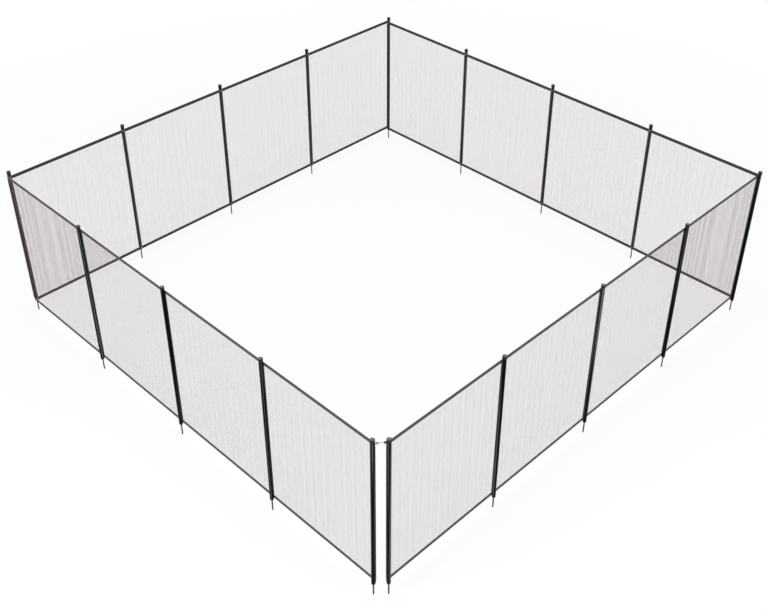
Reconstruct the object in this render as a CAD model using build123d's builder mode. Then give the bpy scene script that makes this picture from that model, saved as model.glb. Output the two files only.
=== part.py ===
"""Removable pool safety fence: mesh stretched round a square on slim posts, closed at one corner by a hook latch.

Millimetres, +Z up. The origin is the flat underside of the left gate post's foot, on the post's axis.
+Y runs along the front left side and +X along the front right side, so the enclosure lies towards +X and +Y.
"""

import os
from math import hypot

from build123d import *

# Post spacing along the sides, centre to centre: the bays at two corners are a little wider than the others
bay = 914.0
left_corner_front_extra = 6.0
left_corner_back_extra = 20.0
back_corner_extra = 32.0

# Gap at the gate corner: how far the right gate post stands from the left one along +X and along -Y
gate_gap_along_x = 63.0
gate_gap_along_y = 58.4

# Posts: aluminium tube, one inch across
post_diameter = 25.4
post_wall = 1.5

# Fabric: mesh with a folded binding along its top and bottom edges
fabric_height = 1088.0
fabric_above_foot = 10.0
mesh_thickness = 1.0
hem_height = 25.0
hem_thickness = 2.0

# The weave is too fine for solids: a plain grid of openings in each bay of the mesh stands for it
mesh_columns_per_bay = 3
mesh_rows = 4
mesh_bar = 12.0

# Battens that clamp the mesh to each post, between its two hems
batten_width = 14.0
batten_thickness = 2.0
batten_end_gap = 2.0
batten_edge_round = 0.8

# Domed cap over each post's top, above a bare stretch of tube that takes the latch
cap_above_fabric = 12.0
cap_skirt = 12.0
cap_wall = 1.6
cap_height_above_post = 10.0
cap_crown_rise = 4.0
cap_shoulder_radius = 5.0

# Tapered plug in each post's lower end
foot_base_diameter = 14.0
foot_taper_height = 9.0
foot_collar_height = 3.0
foot_spigot_length = 34.0
fitting_clearance = 0.2

# Steel pin that drops into a sleeve in the deck
pin_diameter = 9.5
pin_exposed_length = 88.0
pin_held_length = 30.0
pin_tip_chamfer = 1.0
pin_groove_depth = 0.5
pin_groove_height = 1.5

# Hook latch between the two gate posts, halfway up the bare tube
latch_margin = 1.0
latch_wire_diameter = 3.5
eye_opening = 10.0
eye_stem_diameter = 4.5
eye_stem_length = 3.0
pivot_pin_diameter = 4.0
pivot_clearance = 0.3
pivot_from_post = 9.3
ear_thickness = 2.5
ear_side_clearance = 0.6
ear_rim = 3.0
bracket_plate = 2.0
saddle_clearance = 0.15
hook_drop = 10.0
hook_bend_radius = 4.0
hook_rest_clearance = 0.3
hook_end_round = 0.8

# Sizes that follow from those above
post_radius = post_diameter / 2
post_bore_radius = post_radius - post_wall
mesh_offset = post_radius + hem_thickness / 2
hem_fold_thickness = hem_thickness / 2
fabric_top = fabric_above_foot + fabric_height
post_bottom = foot_taper_height + foot_collar_height
post_top = fabric_top + cap_above_fabric + cap_skirt
post_length = post_top - post_bottom
wire_radius = latch_wire_diameter / 2
saddle_radius = post_radius + saddle_clearance
bracket_height = cap_above_fabric - 2 * latch_margin
saddle_reach = 2 * bracket_height

# The bays next to the gate take up what the other bays and the gate's gap leave
left_corner_front_bay = bay + left_corner_front_extra
left_corner_back_bay = bay + left_corner_back_extra
back_corner_bay = bay + back_corner_extra
gate_bay_left = 2 * bay - left_corner_front_bay + 2 * mesh_offset - gate_gap_along_y
gate_bay_right = left_corner_back_bay + back_corner_bay - bay - gate_gap_along_x
up = (0, 0, 1)


def walk(start, along, bays):
    """Post centres from start, one more for each bay, in a straight line."""
    centres = [Vector(*start)]
    for length in bays:
        centres.append(centres[-1] + Vector(*along) * length)
    return centres


def turn_corner(last_post, along, inward, length):
    """The next side's first post: the fabric that reaches it passes on its outer face."""
    return last_post + Vector(*along) * length + Vector(*inward) * 2 * mesh_offset


# Walk round the enclosure from the left gate post to the right one
front_left = walk((0, 0), (0, 1), (gate_bay_left, bay, bay))
left_corner = turn_corner(front_left[-1], (0, 1), (1, 0), left_corner_front_bay)
back_left = walk(left_corner, (1, 0), (left_corner_back_bay, bay, bay))
back_corner = turn_corner(back_left[-1], (1, 0), (0, -1), back_corner_bay)
back_right = walk(back_corner, (0, -1), (bay, bay, bay))
right_corner = turn_corner(back_right[-1], (0, -1), (-1, 0), bay)
front_right = walk(right_corner, (-1, 0), (bay, bay, bay, gate_bay_right))

# Each side: its name, its posts, the way it runs, and the next side's first post if it ends on one
sides = (
    ("front_left", front_left, (0, 1, 0), left_corner),
    ("back_left", back_left, (1, 0, 0), back_corner),
    ("back_right", back_right, (0, -1, 0), right_corner),
    ("front_right", front_right, (-1, 0, 0), None),
)


def side_plane(posts, along, height=0.0):
    """Level plane of a side: X along it from its first post, Y outwards."""
    origin = (posts[0].X, posts[0].Y, height)
    return Plane(origin=origin, x_dir=along, z_dir=up)


def side_elevation(posts, along, height):
    """Upright plane of a side through its posts: X along it from its first post, Y up."""
    origin = (posts[0].X, posts[0].Y, height)
    return Plane(origin=origin, x_dir=along, z_dir=Vector(*along).cross(Vector(*up)))


def side_span(posts, end_post, along):
    """How far the last post that a side's fabric reaches is from the first one, along the side."""
    last = end_post or posts[-1]
    return (last - posts[0]).dot(Vector(*along))


def finish(node, name):
    """Label a finished piece and write it."""
    node.part.label = name
    export_step(node.part, f"parts/{name}.step")


os.makedirs("parts", exist_ok=True)

# Post tubes, one node each
for side_name, posts, along, end_post in sides:
    for number, centre in enumerate(posts, start=1):
        with BuildPart() as post:
            with BuildSketch(Plane((centre.X, centre.Y, post_bottom))):
                Circle(post_radius)
                Circle(post_bore_radius, mode=Mode.SUBTRACT)
            extrude(amount=post_length)
        finish(post, f"post_{side_name}_{number}")

# One cap at the origin: a cup with a low crown and a rounded shoulder, seated on the tube's end
with BuildPart() as cap:
    cap_bore_radius = post_radius + fitting_clearance
    cap_radius = cap_bore_radius + cap_wall
    with BuildSketch(Plane.XZ) as cap_profile:
        with BuildLine():
            skirt_foot = (cap_radius, post_top - cap_skirt)
            crown_top = (0, post_top + cap_height_above_post)
            crown_edge = (cap_radius, crown_top[1] - cap_crown_rise)
            TangentArc(crown_top, crown_edge, tangent=(1, 0))
            Polyline(
                crown_edge,
                skirt_foot,
                (cap_bore_radius, skirt_foot[1]),
                (cap_bore_radius, post_top),
                (0, post_top),
                crown_top,
            )
        make_face()
        shoulder = cap_profile.vertices().group_by(Axis.X)[-1].sort_by(Axis.Y)[-1]
        fillet(shoulder, radius=cap_shoulder_radius)
    revolve(axis=Axis.Z)

# One foot plug at the origin: a spigot in the tube, a collar under its end and a rounded taper to a flat base
with BuildPart() as foot:
    spigot_radius = post_bore_radius - fitting_clearance
    pin_bore_radius = pin_diameter / 2 + fitting_clearance
    spigot_top = post_bottom + foot_spigot_length
    with BuildSketch(Plane.XZ):
        with BuildLine():
            base_edge = (foot_base_diameter / 2, 0)
            taper_top = (post_radius, foot_taper_height)
            TangentArc(taper_top, base_edge, tangent=(0, -1))
            Polyline(
                base_edge,
                (pin_bore_radius, 0),
                (pin_bore_radius, pin_held_length),
                (0, pin_held_length),
                (0, spigot_top),
                (spigot_radius, spigot_top),
                (spigot_radius, post_bottom),
                (post_radius, post_bottom),
                taper_top,
            )
        make_face()
    revolve(axis=Axis.Z)

# One pin at the origin, with a groove just inside the plug that keeps it from pulling out
with BuildPart() as pin:
    pin_radius = pin_diameter / 2
    groove_radius = pin_radius - pin_groove_depth
    tip = -pin_exposed_length
    with BuildSketch(Plane.XZ):
        with BuildLine():
            Polyline(
                (0, tip),
                (pin_radius - pin_tip_chamfer, tip),
                (pin_radius, tip + pin_tip_chamfer),
                (pin_radius, 0),
                (groove_radius, 0),
                (groove_radius, pin_groove_height),
                (pin_radius, pin_groove_height),
                (pin_radius, pin_held_length),
                (0, pin_held_length),
                close=True,
            )
        make_face()
    revolve(axis=Axis.Z)

# Caps, plugs and pins, one node of each to a side
for side_name, posts, along, end_post in sides:
    places = [(centre.X, centre.Y, 0) for centre in posts]
    for kind, model in (("caps", cap), ("feet", foot), ("pins", pin)):
        with BuildPart() as fittings:
            with Locations(*places):
                add(model.part)
        finish(fittings, f"{kind}_{side_name}")

# Fabric of each side: one sheet of mesh, held in the folds of a top and a bottom hem
fabric_overlap = batten_width / 2
fabric_middle = fabric_above_foot + fabric_height / 2
row_pitch = (fabric_height - 2 * hem_height - mesh_bar) / mesh_rows
for side_name, posts, along, end_post in sides:
    length = side_span(posts, end_post, along) + 2 * fabric_overlap
    middle = length / 2 - fabric_overlap
    mesh_bottom = fabric_above_foot + hem_fold_thickness
    mesh_height = fabric_height - 2 * hem_fold_thickness

    reached = [side_span(posts[: n + 1], None, along) for n in range(len(posts))]
    if end_post:
        reached.append(side_span(posts, end_post, along))
    with BuildPart() as mesh:
        with BuildSketch(side_plane(posts, along, mesh_bottom)):
            with Locations((middle, -mesh_offset)):
                Rectangle(length, mesh_thickness)
        extrude(amount=mesh_height)
        with BuildSketch(side_elevation(posts, along, fabric_middle)):
            for left, right in zip(reached, reached[1:]):
                column_pitch = (right - left - batten_width - mesh_bar) / mesh_columns_per_bay
                with Locations(((left + right) / 2, 0)):
                    with GridLocations(column_pitch, row_pitch, mesh_columns_per_bay, mesh_rows):
                        Rectangle(column_pitch - mesh_bar, row_pitch - mesh_bar)
        extrude(amount=2 * mesh_offset, both=True, mode=Mode.SUBTRACT)
    finish(mesh, f"mesh_{side_name}")

    with BuildPart() as hems:
        for hem_bottom in (fabric_above_foot, fabric_top - hem_height):
            with BuildSketch(side_plane(posts, along, hem_bottom)):
                with Locations((middle, -mesh_offset)):
                    Rectangle(length, hem_thickness)
            extrude(amount=hem_height)
        with BuildSketch(side_plane(posts, along, mesh_bottom)):
            with Locations((middle, -mesh_offset)):
                Rectangle(length, mesh_thickness)
        extrude(amount=mesh_height, mode=Mode.SUBTRACT)
    finish(hems, f"hems_{side_name}")

# Battens: on the mesh's inner face at the side's own posts, and on its outer face at the corner it reaches
batten_bottom = fabric_above_foot + hem_height + batten_end_gap
batten_length = fabric_height - 2 * (hem_height + batten_end_gap)
for side_name, posts, along, end_post in sides:
    seat = mesh_thickness / 2 + batten_thickness / 2
    places = [(side_span(posts[: n + 1], None, along), -mesh_offset - seat) for n in range(len(posts))]
    if end_post:
        places.append((side_span(posts, end_post, along), -mesh_offset + seat))
    with BuildPart() as battens:
        with BuildSketch(side_plane(posts, along, batten_bottom)):
            with Locations(*places):
                RectangleRounded(batten_width, batten_thickness, batten_edge_round)
        extrude(amount=batten_length)
    finish(battens, f"battens_{side_name}")

# Latch frame: X from the left gate post's axis to the right one's, Z up
gate_vector = front_right[-1] - front_left[0]
gate_span = hypot(gate_vector.X, gate_vector.Y)
pivot_height = fabric_top + cap_above_fabric / 2
latch_height = pivot_height - 2 * wire_radius - hook_rest_clearance
latch_along = (gate_vector.X, gate_vector.Y, 0)
eye_wire_radius = eye_opening / 2 + wire_radius
eye_centre = post_radius + eye_stem_length + eye_wire_radius + wire_radius
pivot_centre = gate_span - post_radius - pivot_from_post
loop_radius = pivot_pin_diameter / 2 + pivot_clearance + wire_radius
ear_radius = pivot_pin_diameter / 2 + ear_rim
ear_gap = latch_wire_diameter + 2 * ear_side_clearance
level = Plane(origin=(0, 0, latch_height), x_dir=latch_along, z_dir=up)
upright = Plane(origin=(0, 0, pivot_height), x_dir=latch_along, z_dir=level.y_dir.reverse())

# Screw eye on the left gate post: a level ring on a stem that seats on the tube
with BuildPart() as latch_eye:
    with BuildSketch(Plane(origin=level.origin, x_dir=level.x_dir, z_dir=upright.z_dir)):
        with Locations((eye_centre + eye_wire_radius, 0)):
            Circle(wire_radius)
    revolve(axis=Axis(level.from_local_coords(Vector(eye_centre, 0, 0)), up))
    with BuildSketch(Plane(origin=level.origin, x_dir=level.y_dir, z_dir=level.x_dir)):
        Circle(eye_stem_diameter / 2)
    extrude(amount=eye_centre - eye_wire_radius)
    with BuildSketch(level):
        Circle(saddle_radius)
    extrude(amount=saddle_reach, both=True, mode=Mode.SUBTRACT)
finish(latch_eye, "latch_eye")

# Pivot bracket on the right gate post: two ears on a saddle, with the pivot pin through them
with BuildPart() as latch_pivot:
    bracket_width = ear_gap + 2 * ear_thickness
    with BuildSketch(upright):
        with Locations((pivot_centre, 0)):
            Circle(ear_radius)
        with Locations(((pivot_centre + gate_span) / 2, 0)):
            Rectangle(gate_span - pivot_centre, bracket_height)
    extrude(amount=bracket_width / 2, both=True)
    with BuildSketch(upright):
        with Locations((pivot_centre, 0)):
            slot_reach = pivot_from_post - bracket_plate
            Rectangle(2 * slot_reach, saddle_reach)
    extrude(amount=ear_gap / 2, both=True, mode=Mode.SUBTRACT)
    with BuildSketch(upright):
        with Locations((pivot_centre, 0)):
            Circle(pivot_pin_diameter / 2)
    extrude(amount=bracket_width / 2, both=True)
    with BuildSketch(level):
        with Locations((gate_span, 0)):
            Circle(saddle_radius)
    extrude(amount=saddle_reach, both=True, mode=Mode.SUBTRACT)
finish(latch_pivot, "latch_pivot")

# Hook: a wire loop round the pivot pin, a straight shank, and an end that drops through the eye
with BuildPart() as latch_hook:
    shank_start = (pivot_centre - loop_radius, 0)
    with BuildLine(upright) as shank:
        FilletPolyline(shank_start, (eye_centre, 0), (eye_centre, -hook_drop), radius=hook_bend_radius)
    with BuildSketch(Plane(origin=shank.line @ 0, z_dir=shank.line % 0)):
        Circle(wire_radius)
    sweep(path=shank.line)
    with BuildSketch(level.move(Location((0, 0, pivot_height - latch_height)))):
        with Locations((pivot_centre + loop_radius, 0)):
            Circle(wire_radius)
    revolve(axis=Axis(upright.from_local_coords(Vector(pivot_centre, 0, 0)), level.y_dir))
    fillet(latch_hook.edges().group_by(Axis.Z)[0], radius=hook_end_round)
finish(latch_hook, "latch_hook")
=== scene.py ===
"""Looks of the pool safety fence: open mesh, webbing hems, coated posts, steel pins and latch.

Metres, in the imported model's frame: +Z up, +Y along the front left side, +X along the front right side.
"""

import math

import bpy
import numpy as np
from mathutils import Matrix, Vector


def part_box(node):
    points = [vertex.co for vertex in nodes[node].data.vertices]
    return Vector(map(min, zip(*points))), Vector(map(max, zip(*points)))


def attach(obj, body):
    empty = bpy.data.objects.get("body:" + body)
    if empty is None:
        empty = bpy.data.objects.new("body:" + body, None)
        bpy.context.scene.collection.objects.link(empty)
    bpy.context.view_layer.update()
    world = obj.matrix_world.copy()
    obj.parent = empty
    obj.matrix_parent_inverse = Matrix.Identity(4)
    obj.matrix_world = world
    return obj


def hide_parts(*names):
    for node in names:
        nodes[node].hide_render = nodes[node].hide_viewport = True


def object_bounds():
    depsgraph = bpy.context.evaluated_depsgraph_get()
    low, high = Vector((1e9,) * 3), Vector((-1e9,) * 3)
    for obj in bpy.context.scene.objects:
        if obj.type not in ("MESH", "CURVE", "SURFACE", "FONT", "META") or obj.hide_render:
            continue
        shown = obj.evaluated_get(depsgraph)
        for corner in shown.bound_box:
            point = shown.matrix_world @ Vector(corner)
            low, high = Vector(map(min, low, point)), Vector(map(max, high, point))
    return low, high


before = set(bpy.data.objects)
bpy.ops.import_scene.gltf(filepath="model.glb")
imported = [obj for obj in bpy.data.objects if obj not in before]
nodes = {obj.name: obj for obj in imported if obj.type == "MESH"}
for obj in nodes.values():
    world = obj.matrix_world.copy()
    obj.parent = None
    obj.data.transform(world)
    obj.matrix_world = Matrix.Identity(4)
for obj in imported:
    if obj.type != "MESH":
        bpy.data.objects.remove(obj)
cad_low, cad_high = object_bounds()
scene = bpy.context.scene
rng = np.random.default_rng(7)

# Weave of the mesh: flat upright bundles of filaments, with level yarns behind them.
# The bundles of the two back sides are a little narrower.
BUNDLE_PITCH = 0.0065
BUNDLE_FILAMENTS = 12
FILAMENT_SIZE = 0.0001105
FILAMENT_SPACING = 0.000104
BACK_FILAMENT_SPACING = 0.000092
LEVEL_PITCH = BUNDLE_PITCH * 2 / 3
LEVEL_SIZE = 0.0002
LEVEL_FROM_END = 0.0005
MESH_FROM_FOLD = 0.002

# Slow random changes: their share of a size, and the length that they take
BUNDLE_CHANGE = 0.26
BUNDLE_CHANGE_LENGTH = 0.034
FILAMENT_CHANGE = 0.12
LEVEL_CHANGE = 0.1
SIZE_CHANGE_LENGTH = 0.05

# Hems: ribbed webbing folded over the mesh's edge, and the stitches near its open edge
HEM_HEIGHT = 0.025
HEM_HALF = 0.001
HEM_THICKNESS = 0.0005
RIB_PITCH = 0.013
RIB_STEPS = 3
RIB_DEPTH = 0.00012
WEBBING_TINT = (1.09, 0.94, 1.02)
STITCH_PITCH = 0.006
STITCH_LENGTH = 0.0045
STITCH_SIZE = 0.0005
STITCH_FLATNESS = 0.3
STITCH_FROM_EDGE = 0.0035
STITCH_FROM_END = 0.003
STITCH_SUNK = 0.0001

# Head of a screw: radius and rise of its rings, from the crown outwards
SCREW_RINGS = ((0.0, 0.0019), (0.0012, 0.00185), (0.0024, 0.0016), (0.0034, 0.0010), (0.0037, 0.0))
SCREW_CORNERS = 16

# How far up plastic faces where its painted highlight starts, and where it is at full strength
PAINTED_HIGHLIGHT_START = 0.72
PAINTED_HIGHLIGHT_END = 0.96

# How much rougher steel is in its tool marks
TOOL_MARK_ROUGHNESS = 0.15

# Studio: the floor is seen as white from FAR_FLOOR outwards, and a little darker round its middle
FLOOR_SIZE = 120.0
FLOOR_DROP = 0.001
NEAR_FLOOR = 2.2
FAR_FLOOR = 6.0
NEAR_FLOOR_WHITE = 0.86
WORLD_LIGHT = 0.45

# The photograph's camera, fitted to the posts, the hems and the caps
PICTURE_WIDTH, PICTURE_HEIGHT = 768, 612
FOCAL_PIXELS = 1122.382
CENTRE_ROW = 239.178
CAMERA_PLACE = (-2.82759, -2.91571, 5.18530)
CAMERA_AZIMUTH = math.radians(-44.9583)
CAMERA_ELEVATION = math.radians(34.8599)


def material(name):
    """A new node material, its links, its shader and a helper that adds a node."""
    made = bpy.data.materials.new(name)
    made.use_nodes = True
    tree = made.node_tree

    def add(kind, **values):
        node = tree.nodes.new(kind)
        for key, value in values.items():
            if hasattr(node, key):
                setattr(node, key, value)
            else:
                node.inputs[key.replace("_", " ")].default_value = value
        return node

    return made, tree.links, tree.nodes["Principled BSDF"], add


def grey(value, warmth=0.0):
    """A neutral colour, a touch warmer or cooler."""
    return (value * (1 + warmth), value, value * (1 - warmth))


def ramp(add, links, value, stops):
    """The colour at a value on a ramp through (position, colour) stops."""
    node = add("ShaderNodeValToRGB")
    elements = node.color_ramp.elements
    while len(elements) < len(stops):
        elements.new(0.5)
    for element, (position, colour) in zip(elements, stops):
        element.position = position
        element.color = (*colour, 1)
    links.new(value, node.inputs["Fac"])
    return node.outputs["Color"]


def noise(add, links, coordinates, scale, detail, stretch=(1, 1, 1)):
    """Noise over the object's own coordinates, drawn out along an axis by stretch."""
    mapping = add("ShaderNodeMapping")
    mapping.inputs["Scale"].default_value = stretch
    links.new(coordinates, mapping.inputs["Vector"])
    node = add("ShaderNodeTexNoise")
    node.inputs["Scale"].default_value = scale
    node.inputs["Detail"].default_value = detail
    links.new(mapping.outputs["Vector"], node.inputs["Vector"])
    return node.outputs["Fac"]


def bump(add, links, shader, height, strength, distance):
    """Bump from a height, on the shader's normal."""
    node = add("ShaderNodeBump")
    node.inputs["Strength"].default_value = strength
    node.inputs["Distance"].default_value = distance
    links.new(height, node.inputs["Height"])
    links.new(node.outputs["Normal"], shader.inputs["Normal"])


def coated_tube():
    """Black coated tube: a fine orange peel, soft upright painted highlight streaks in its colour, and a
    little dust in its roughness.
    """
    made, links, shader, add = material("black_coated_tube")
    coords = add("ShaderNodeTexCoord").outputs["Object"]
    # Pale bluish upright streaks: a painted highlight, the lamps' reflection drawn into the colour.
    painted_highlight_streaks = noise(add, links, coords, scale=150, detail=1, stretch=(1, 1, 0.004))
    tones = [(0.47, grey(0.0005)), (0.55, grey(0.0015)), (0.63, (0.105, 0.106, 0.122))]
    links.new(ramp(add, links, painted_highlight_streaks, tones), shader.inputs["Base Color"])
    dust = noise(add, links, coords, scale=9, detail=5, stretch=(1, 1, 0.25))
    roughness = ramp(add, links, dust, [(0.3, grey(0.22)), (0.8, grey(0.34))])
    links.new(roughness, shader.inputs["Roughness"])
    peel = noise(add, links, coords, scale=420, detail=2, stretch=(1, 1, 0.6))
    bump(add, links, shader, peel, strength=0.12, distance=0.0004)
    shader.inputs["Specular IOR Level"].default_value = 0.04
    return made


def plastic(name, low, high, rough_low, rough_high, grain, shine=0.5, painted_top_highlight=None):
    """Moulded black plastic with a fine grain and slight mottling.

    Given a grey for the top, it turns to that grey where it faces up: a painted highlight from the lamps
    above.
    """
    made, links, shader, add = material(name)
    surface = add("ShaderNodeTexCoord")
    coords = surface.outputs["Object"]
    mottle = noise(add, links, coords, scale=60, detail=4)
    colour = ramp(add, links, mottle, [(0.35, grey(low)), (0.7, grey(high, -0.02))])
    # Painted highlight: the upward faces turn grey as if lit from above.
    if painted_top_highlight:
        facing = add("ShaderNodeSeparateXYZ")
        links.new(surface.outputs["Normal"], facing.inputs["Vector"])
        stops = [(PAINTED_HIGHLIGHT_START, grey(0.0)), (PAINTED_HIGHLIGHT_END, grey(1.0))]
        upward = ramp(add, links, facing.outputs["Z"], stops)
        mixed = add("ShaderNodeMix", data_type="RGBA")
        mixed.inputs["B"].default_value = (*grey(painted_top_highlight), 1)
        links.new(upward, mixed.inputs["Factor"])
        links.new(colour, mixed.inputs["A"])
        colour = mixed.outputs["Result"]
    links.new(colour, shader.inputs["Base Color"])
    roughness = ramp(add, links, mottle, [(0.3, grey(rough_low)), (0.75, grey(rough_high))])
    links.new(roughness, shader.inputs["Roughness"])
    fine = noise(add, links, coords, scale=grain, detail=2)
    bump(add, links, shader, fine, strength=0.2, distance=0.0003)
    shader.inputs["Specular IOR Level"].default_value = shine
    return made


def extruded_strip():
    """Extruded strip: fine lines along its length."""
    made, links, shader, add = material("extruded_strip")
    coords = add("ShaderNodeTexCoord").outputs["Object"]
    lines = noise(add, links, coords, scale=600, detail=2, stretch=(1, 1, 0.004))
    colour = ramp(add, links, lines, [(0.3, grey(0.006)), (0.75, grey(0.014, 0.02))])
    links.new(colour, shader.inputs["Base Color"])
    shader.inputs["Roughness"].default_value = 0.55
    bump(add, links, shader, lines, strength=0.25, distance=0.0004)
    return made


def turned_steel(name, dark, light, rough, stretch):
    """Steel with fine tool marks drawn out along stretch, and patches of dull oxide."""
    made, links, shader, add = material(name)
    coords = add("ShaderNodeTexCoord").outputs["Object"]
    marks = noise(add, links, coords, scale=900, detail=2, stretch=stretch)
    patches = noise(add, links, coords, scale=45, detail=4)
    colour = ramp(add, links, patches, [(0.3, grey(dark)), (0.7, grey(light, 0.01))])
    links.new(colour, shader.inputs["Base Color"])
    shader.inputs["Metallic"].default_value = 1.0
    stops = [(0.25, grey(rough)), (0.8, grey(rough + TOOL_MARK_ROUGHNESS))]
    roughness = ramp(add, links, marks, stops)
    links.new(roughness, shader.inputs["Roughness"])
    bump(add, links, shader, marks, strength=0.25, distance=0.0003)
    return made


def mesh_yarn():
    """Coated yarn of the mesh, dark, with a slight sheen and slubs along it."""
    made, links, shader, add = material("mesh_yarn")
    coords = add("ShaderNodeTexCoord").outputs["Object"]
    slubs = noise(add, links, coords, scale=35, detail=3)
    colour = ramp(add, links, slubs, [(0.3, (0.115, 0.050, 0.068)), (0.75, (0.155, 0.076, 0.100))])
    links.new(colour, shader.inputs["Base Color"])
    shader.inputs["Roughness"].default_value = 0.6
    shader.inputs["Sheen Weight"].default_value = 0.1
    return made


def ribbed_webbing(side, slope, painted_groove_shade, painted_crest_highlight):
    """Webbing of one side's hems: diagonal ribs in three tones, painted shade in the grooves and a
    painted highlight on the crests, and a finer weave on them.
    """
    made, links, shader, add = material(f"webbing_{side.name}")
    coords = add("ShaderNodeTexCoord").outputs["Object"]
    parts = add("ShaderNodeSeparateXYZ")
    links.new(coords, parts.inputs["Vector"])
    total = add("ShaderNodeMath", operation="ADD")
    links.new(parts.outputs[side.axis], total.inputs[0])
    links.new(parts.outputs["Z"], total.inputs[1])
    turns = add("ShaderNodeMath", operation="MULTIPLY")
    turns.inputs[1].default_value = 2 * math.pi / RIB_PITCH
    links.new(total.outputs[0], turns.inputs[0])
    wave = add("ShaderNodeMath", operation="SINE")
    links.new(turns.outputs[0], wave.inputs[0])
    rise = add("ShaderNodeMath", operation="MULTIPLY_ADD")
    rise.inputs[1].default_value = 0.5
    rise.inputs[2].default_value = 0.5
    links.new(wave.outputs[0], rise.inputs[0])
    # The ribs' colour is painted light: darkest in the grooves, lightest on the crests.
    stops = [
        (position, tuple(value * tint for tint in WEBBING_TINT))
        for position, value in ((0.2, painted_groove_shade), (0.55, slope), (0.9, painted_crest_highlight))
    ]
    weave = noise(add, links, coords, scale=700, detail=2)
    mixed = add("ShaderNodeMix", data_type="RGBA", blend_type="MULTIPLY")
    mixed.inputs["Factor"].default_value = 0.5
    links.new(ramp(add, links, rise.outputs[0], stops), mixed.inputs["A"])
    links.new(weave, mixed.inputs["B"])
    links.new(mixed.outputs["Result"], shader.inputs["Base Color"])
    shader.inputs["Roughness"].default_value = 0.8
    shader.inputs["Sheen Weight"].default_value = 0.08
    shader.inputs["Specular IOR Level"].default_value = 0.3
    bump(add, links, shader, weave, strength=0.4, distance=0.0004)
    return made


class Side:
    """One side of the enclosure: which way it runs, where its mesh stands, and its posts.

    The mesh lies on the inner face of the side's own posts, and on the outer face of the end post.
    """

    def __init__(self, name, axis, outwards, own_posts, end_posts=()):
        self.name = name
        self.axis = axis
        self.outwards = outwards
        low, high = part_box(f"mesh_{name}")
        self.wall = (low[1 - axis] + high[1 - axis]) / 2
        self.start, self.end = low[axis], high[axis]
        hems_low, hems_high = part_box(f"hems_{name}")
        self.bottom, self.top = hems_low.z, hems_high.z
        self.own_posts = [self.middle(post) for post in own_posts]
        self.end_posts = [self.middle(post) for post in end_posts]
        self.rests_on = [*own_posts, *end_posts]

    def middle(self, node):
        """Where a node's middle is along the side."""
        low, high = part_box(node)
        return (low[self.axis] + high[self.axis]) / 2

    def points(self, along, off, height):
        """Points from distance along the side, distance outwards from the mesh's plane, and height."""
        along, off, height = np.broadcast_arrays(along, off, height)
        made = np.empty((*along.shape, 3))
        made[..., self.axis] = along
        made[..., 1 - self.axis] = self.wall + self.outwards * off
        made[..., 2] = height
        return made

    def direction(self, along=0.0, off=0.0, height=0.0):
        """A step along the side, outwards and up."""
        return self.points(along, off, height) - self.points(0.0, 0.0, 0.0)


def post_names(side_name, count):
    """Names of a side's own posts."""
    return [f"post_{side_name}_{n}" for n in range(1, count + 1)]


sides = (
    Side("front_left", 1, -1, post_names("front_left", 4), ["post_back_left_1"]),
    Side("back_left", 0, 1, post_names("back_left", 4), ["post_back_right_1"]),
    Side("back_right", 1, 1, post_names("back_right", 4), ["post_front_right_1"]),
    Side("front_right", 0, -1, post_names("front_right", 5)),
)


def mesh_piece(name, parts, material_used, smooth=False):
    """A mesh object from parts, each an array of vertices and an array of quads."""
    starts = np.cumsum([0] + [len(vertices) for vertices, quads in parts])
    all_vertices = np.concatenate([vertices for vertices, quads in parts])
    all_quads = np.concatenate([quads + start for (vertices, quads), start in zip(parts, starts)])
    data = bpy.data.meshes.new(name)
    data.from_pydata(all_vertices.tolist(), [], all_quads.tolist())
    data.validate()
    data.materials.append(material_used)
    if smooth:
        data.polygons.foreach_set("use_smooth", np.ones(len(data.polygons), bool))
    made = bpy.data.objects.new(name, data)
    scene.collection.objects.link(made)
    return made


def quads_between(corners, rings):
    """Quads round and along a run of rings with that many corners each."""
    a = np.arange(corners)
    b = (a + 1) % corners
    band = np.stack([a, b, b + corners, a + corners], axis=1)
    return (band[None] + corners * np.arange(rings - 1)[:, None, None]).reshape(-1, 4)


def yarns(starts, ends, across, over, sizes):
    """Open four-sided yarns from starts to ends. Their section spans the directions across and over."""
    half = sizes[:, None] / 2
    corners = [across * half, over * half, -across * half, -over * half]
    first_ring = np.stack([starts + corner for corner in corners], axis=1)
    last_ring = np.stack([ends + corner for corner in corners], axis=1)
    vertices = np.concatenate([first_ring, last_ring], axis=1).reshape(-1, 3)
    one_yarn = quads_between(len(corners), 2)
    first_vertices = 2 * len(corners) * np.arange(len(starts))
    return vertices, (one_yarn[None] + first_vertices[:, None, None]).reshape(-1, 4)


def smooth_random(values, length):
    """A slow random wave over the values, from -1 to 1, with about that wavelength."""
    total = np.zeros_like(values)
    factors = (0.6, 1.0, 1.7)
    for factor in factors:
        phase = rng.uniform(0, 2 * math.pi)
        total += np.sin(values * 2 * math.pi / (length * factor) + phase)
    return total / len(factors)


def middles_of_parts(low, high, count):
    """Middles of that many equal parts between low and high."""
    return low + (np.arange(count) + 0.5) * (high - low) / count


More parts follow.
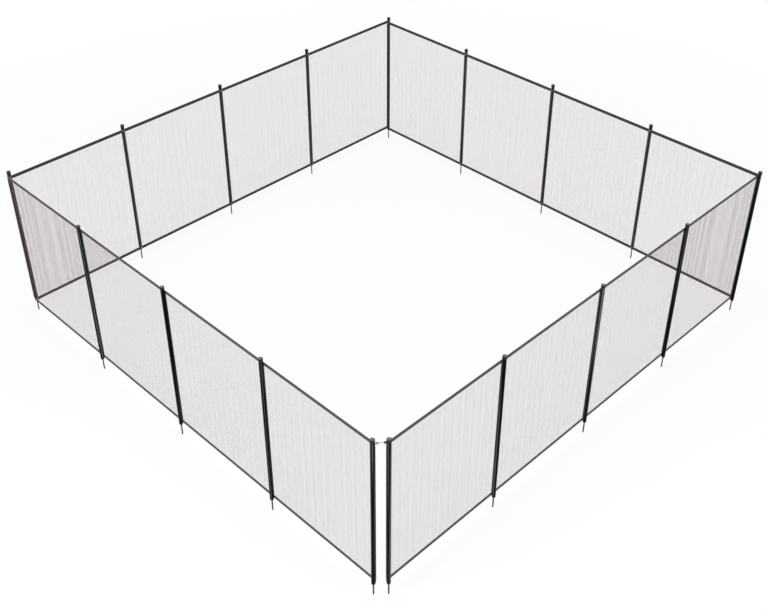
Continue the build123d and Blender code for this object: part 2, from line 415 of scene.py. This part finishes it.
def build_mesh(side):
    """Weave of one side, stretched between its hems."""
    low = side.bottom + MESH_FROM_FOLD
    high = side.top - MESH_FROM_FOLD
    spacing = BACK_FILAMENT_SPACING if side.name.startswith("back") else FILAMENT_SPACING
    middles = middles_of_parts(side.start, side.end, int((side.end - side.start) / BUNDLE_PITCH))
    beside = (np.arange(BUNDLE_FILAMENTS) - (BUNDLE_FILAMENTS - 1) / 2) * spacing
    spread = 1 + BUNDLE_CHANGE * smooth_random(middles, BUNDLE_CHANGE_LENGTH)
    along = (middles[:, None] + beside * spread[:, None]).ravel()
    uprights = yarns(
        side.points(along, FILAMENT_SIZE / 2, low),
        side.points(along, FILAMENT_SIZE / 2, high),
        side.direction(along=1.0),
        side.direction(off=1.0),
        FILAMENT_SIZE * (1 + FILAMENT_CHANGE * smooth_random(along, SIZE_CHANGE_LENGTH)),
    )
    heights = middles_of_parts(low, high, int((high - low) / LEVEL_PITCH))
    levels = yarns(
        side.points(side.start + LEVEL_FROM_END, -LEVEL_SIZE / 2, heights),
        side.points(side.end - LEVEL_FROM_END, -LEVEL_SIZE / 2, heights),
        side.direction(height=1.0),
        side.direction(off=1.0),
        LEVEL_SIZE * (1 + LEVEL_CHANGE * smooth_random(heights, SIZE_CHANGE_LENGTH)),
    )
    return mesh_piece(f"fabric_{side.name}", [uprights, levels], yarn)


def hem_section(top):
    """Folded strip in section: (distance outwards, height) round it, folded at its top or its bottom."""
    inner = HEM_HALF - HEM_THICKNESS
    fold_at = HEM_HEIGHT - HEM_HALF
    heights = np.linspace(0, fold_at, 5)
    turn = np.linspace(0, math.pi, 7)[1:-1]
    path = [(HEM_HALF, height) for height in heights]
    path += [(HEM_HALF * math.cos(a), fold_at + HEM_HALF * math.sin(a)) for a in turn]
    path += [(-HEM_HALF, height) for height in heights[::-1]]
    path += [(-inner, 0.0), (-inner, fold_at), (inner, fold_at), (inner, 0.0)]
    path = np.array(path)
    if not top:
        path[:, 1] = HEM_HEIGHT - path[:, 1]
    return path


def build_hems(side, material_used):
    """Both hems of one side, with their ribs pressed into the outer skin."""
    count = int((side.end - side.start) / (RIB_PITCH / RIB_STEPS))
    along = np.linspace(side.start, side.end, count)[:, None]
    parts = []
    for top in (True, False):
        section = hem_section(top)
        base = side.top - HEM_HEIGHT if top else side.bottom
        off = np.tile(section[:, 0], (count, 1))
        height = base + np.tile(section[:, 1], (count, 1))
        rib = np.sin((along + height) * 2 * math.pi / RIB_PITCH)
        outer_skin = np.abs(off) > HEM_HALF * 0.9
        off = np.where(outer_skin, off - np.sign(off) * RIB_DEPTH * (1 - rib), off)
        vertices = side.points(along, off, height).reshape(-1, 3)
        parts.append((vertices, quads_between(len(section), count)))
    return mesh_piece(f"webbing_{side.name}", parts, material_used, smooth=True)


def build_stitches(side, material_used):
    """A line of stitches on both faces of both hems, near the open edge."""
    count = int((side.end - side.start - 2 * STITCH_FROM_END) / STITCH_PITCH)
    along = side.start + STITCH_FROM_END + (np.arange(count) + 0.5) * STITCH_PITCH
    parts = []
    for height in (side.top - HEM_HEIGHT + STITCH_FROM_EDGE, side.bottom + HEM_HEIGHT - STITCH_FROM_EDGE):
        for face in (1, -1):
            lift = face * (HEM_HALF - STITCH_SUNK)
            parts.append(yarns(
                side.points(along - STITCH_LENGTH / 2, lift, height),
                side.points(along + STITCH_LENGTH / 2, lift, height),
                side.direction(height=1.0),
                side.direction(off=STITCH_FLATNESS),
                np.full(count, STITCH_SIZE),
            ))
    return mesh_piece(f"stitching_{side.name}", parts, material_used)


def build_screws(side, material_used):
    """Pan-head screws through each hem into the posts, from the side where the mesh lies."""
    turn = np.arange(SCREW_CORNERS) * 2 * math.pi / SCREW_CORNERS
    quads = quads_between(SCREW_CORNERS, len(SCREW_RINGS))
    places = [(along, -1) for along in side.own_posts] + [(along, 1) for along in side.end_posts]
    parts = []
    for along, face in places:
        for height in (side.top - HEM_HEIGHT / 2, side.bottom + HEM_HEIGHT / 2):
            rings = [
                side.points(
                    along + radius * np.cos(turn),
                    face * (HEM_HALF + rise),
                    height + radius * np.sin(turn),
                )
                for radius, rise in SCREW_RINGS
            ]
            parts.append((np.concatenate(rings), quads))
    return mesh_piece(f"screws_{side.name}", parts, material_used, smooth=True)


# Finishes of the nodes, by the start of their names
yarn = mesh_yarn()
fitting_steel = turned_steel("fitting_steel", dark=0.035, light=0.07, rough=0.35, stretch=(1, 1, 0.3))
finishes = {
    "post_": coated_tube(),
    # Caps: the grey on their crowns is a painted highlight.
    "caps_": plastic(
        "cap_plastic", low=0.005, high=0.013, rough_low=0.24, rough_high=0.36,
        grain=900, shine=0.2, painted_top_highlight=0.10,
    ),
    "feet_": plastic(
        "foot_plastic", low=0.006, high=0.014, rough_low=0.4, rough_high=0.55,
        grain=900, shine=0.12,
    ),
    "battens_": extruded_strip(),
    "pins_": turned_steel("pin_steel", dark=0.045, light=0.10, rough=0.35, stretch=(0.05, 0.05, 1)),
    "latch_hook": turned_steel("latch_steel", dark=0.16, light=0.26, rough=0.28, stretch=(1, 1, 0.05)),
    "latch_eye": fitting_steel,
    "latch_pivot": fitting_steel,
}
for name, node in nodes.items():
    for start_of_name, finish in finishes.items():
        if name.startswith(start_of_name):
            node.data.materials.clear()
            node.data.materials.append(finish)

# Soft pieces of each side. The webbing tones are painted light and shade, for the ribs' slopes, grooves
# and crests, and per side by how the light falls on it.
screw_steel = turned_steel("screw_steel", dark=0.40, light=0.55, rough=0.3, stretch=(1, 1, 1))
stitch_thread = plastic("stitch_thread", low=0.05, high=0.09, rough_low=0.7, rough_high=0.8, grain=1500)
# Painted light: each side's webbing is drawn lighter or darker by how the light falls on it, with painted
# shade in the grooves and a painted highlight on the crests.
painted_light_webbing_tones = {
    "front_left": (0.078, 0.035, 0.125),
    "front_right": (0.082, 0.037, 0.13),
    "back_left": (0.006, 0.002, 0.08),
    "back_right": (0.036, 0.016, 0.08),
}
for side in sides:
    fabric = build_mesh(side)
    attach(fabric, "fence")
    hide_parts(f"mesh_{side.name}")
    webbing = build_hems(side, ribbed_webbing(side, *painted_light_webbing_tones[side.name]))
    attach(webbing, "fence")
    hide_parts(f"hems_{side.name}")
    stitching = build_stitches(side, stitch_thread)
    screws = build_screws(side, screw_steel)
    for piece in (stitching, screws):
        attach(piece, "fence")


def seen_plainly(tree):
    """1 for rays from the camera, off gloss or through glass, and 0 for the light on the fence."""
    rays = tree.nodes.new("ShaderNodeLightPath")
    seen = rays.outputs["Is Camera Ray"]
    for kind in ("Is Glossy Ray", "Is Transmission Ray"):
        either = tree.nodes.new("ShaderNodeMath")
        either.operation = "MAXIMUM"
        tree.links.new(seen, either.inputs[0])
        tree.links.new(rays.outputs[kind], either.inputs[1])
        seen = either.outputs[0]
    return seen


# Floor under the pins' tips
middle_x = (cad_low.x + cad_high.x) / 2
middle_y = (cad_low.y + cad_high.y) / 2
half = FLOOR_SIZE / 2
floor_data = bpy.data.meshes.new("floor")
floor_corners = [(-half, -half, 0), (half, -half, 0), (half, half, 0), (-half, half, 0)]
floor_data.from_pydata(floor_corners, [], [(0, 1, 2, 3)])
floor = bpy.data.objects.new("floor", floor_data)
floor.location = (middle_x, middle_y, cad_low.z - FLOOR_DROP)
scene.collection.objects.link(floor)
floor_material, links, shader, add = material("studio_floor")
shader.inputs["Base Color"].default_value = (0.8, 0.8, 0.8, 1)
shader.inputs["Roughness"].default_value = 0.9
shader.inputs["Specular IOR Level"].default_value = 0.0
away = add("ShaderNodeVectorMath", operation="LENGTH")
links.new(add("ShaderNodeTexCoord").outputs["Object"], away.inputs[0])
whiteness = add("ShaderNodeMapRange", From_Min=NEAR_FLOOR, From_Max=FAR_FLOOR, To_Min=NEAR_FLOOR_WHITE)
links.new(away.outputs["Value"], whiteness.inputs["Value"])
share = add("ShaderNodeMath", operation="MULTIPLY")
links.new(seen_plainly(floor_material.node_tree), share.inputs[0])
links.new(whiteness.outputs["Result"], share.inputs[1])
white = add("ShaderNodeEmission")
white.inputs["Color"].default_value = (1, 1, 1, 1)
white.inputs["Strength"].default_value = 1.0
mix = add("ShaderNodeMixShader")
links.new(share.outputs[0], mix.inputs["Fac"])
links.new(shader.outputs["BSDF"], mix.inputs[1])
links.new(white.outputs["Emission"], mix.inputs[2])
links.new(mix.outputs["Shader"], floor_material.node_tree.nodes["Material Output"].inputs["Surface"])
floor_data.materials.append(floor_material)

# World: white where it is seen, dimmer as light on the fence
world = bpy.data.worlds.new("studio")
scene.world = world
world.use_nodes = True
tree = world.node_tree
background = tree.nodes["Background"]
background.inputs["Color"].default_value = (1, 1, 1, 1)
strength = tree.nodes.new("ShaderNodeMapRange")
strength.inputs["To Min"].default_value = WORLD_LIGHT
strength.inputs["To Max"].default_value = 1.0
tree.links.new(seen_plainly(tree), strength.inputs["Value"])
tree.links.new(strength.outputs["Result"], background.inputs["Strength"])


def softbox(name, place, target, size, power):
    """A large soft lamp, aimed at a point."""
    lamp = bpy.data.lights.new(name, "AREA")
    lamp.shape = "RECTANGLE"
    lamp.size, lamp.size_y = size
    lamp.energy = power
    made = bpy.data.objects.new(name, lamp)
    made.location = place
    made.rotation_euler = (Vector(target) - Vector(place)).to_track_quat("-Z", "Y").to_euler()
    scene.collection.objects.link(made)


softbox("key", place=(-4.5, 1.0, 4.5), target=(0.5, 1.0, 0.4), size=(3.0, 4.0), power=260)
softbox("fill", place=(3.0, -6.0, 4.0), target=(2.0, 0.0, 0.4), size=(4.0, 3.0), power=220)
over_middle, middle = (middle_x, middle_y, 6.5), (middle_x, middle_y, 0.5)
softbox("top", place=over_middle, target=middle, size=(5.0, 5.0), power=220)

camera_data = bpy.data.cameras.new("camera")
camera = bpy.data.objects.new("camera", camera_data)
scene.collection.objects.link(camera)
scene.camera = camera
camera.location = CAMERA_PLACE
back = Vector((
    math.sin(CAMERA_AZIMUTH) * math.cos(CAMERA_ELEVATION),
    -math.cos(CAMERA_AZIMUTH) * math.cos(CAMERA_ELEVATION),
    math.sin(CAMERA_ELEVATION),
))
camera.rotation_euler = (-back).to_track_quat("-Z", "Y").to_euler()
camera_data.sensor_width = 36.0
camera_data.lens = FOCAL_PIXELS * camera_data.sensor_width / PICTURE_WIDTH
camera_data.shift_y = (CENTRE_ROW - PICTURE_HEIGHT / 2) / PICTURE_WIDTH
camera_data.clip_end = 300

scene.view_settings.view_transform = "Standard"
